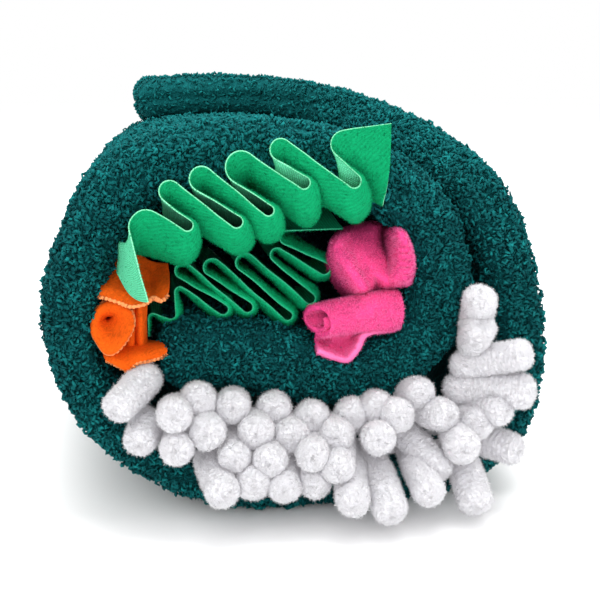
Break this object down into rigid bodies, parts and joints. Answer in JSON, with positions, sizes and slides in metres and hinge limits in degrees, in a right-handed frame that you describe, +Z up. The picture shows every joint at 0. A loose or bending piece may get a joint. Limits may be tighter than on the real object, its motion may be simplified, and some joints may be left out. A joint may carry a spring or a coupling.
{
  "type": "rolled snuffle mat",
  "caption": "Padded fleece snuffle mat rolled up on its side, with ruffled ribbons, felt, plush curls and chenille noodles showing at the end, for hiding treats from a pet.",
  "frame": {"origin": "middle of the rolled mat's footprint, at the floor it lies on", "axes": "+Z up, the roll's axis along Y with the decorated end facing -Y, +X to the right as seen from that end"},
  "size_m": [0.158, 0.2518, 0.1357],
  "materials": {
    "boucle_teal": "dark teal boucle fleece, looped pile",
    "ribbon_green": "green woven ribbon with a soft velvet side",
    "felt_orange": "matte orange felt",
    "plush_pink": "short pink plush",
    "chenille_white": "fuzzy white chenille"
  },
  "bodies": {
    "root": {"mat": "boucle_teal", "ribbon_upper": "ribbon_green", "ribbon_lower": "ribbon_green", "felt_leaf": "felt_orange", "felt_tongue": "felt_orange", "felt_cup": "felt_orange", "plush_curl": "plush_pink", "plush_roll": "plush_pink", "noodles_floor_left": "chenille_white", "noodles_floor_right": "chenille_white", "noodles_low_left": "chenille_white", "noodles_low_right": "chenille_white", "noodles_high_left": "chenille_white", "noodles_high_right": "chenille_white", "noodles_top_left": "chenille_white", "noodles_top_right": "chenille_white", "noodles_side_left": "chenille_white", "noodles_side_right": "chenille_white", "noodle_upright": "chenille_white", "noodles_back": "chenille_white"}
  },
  "joints": []
}
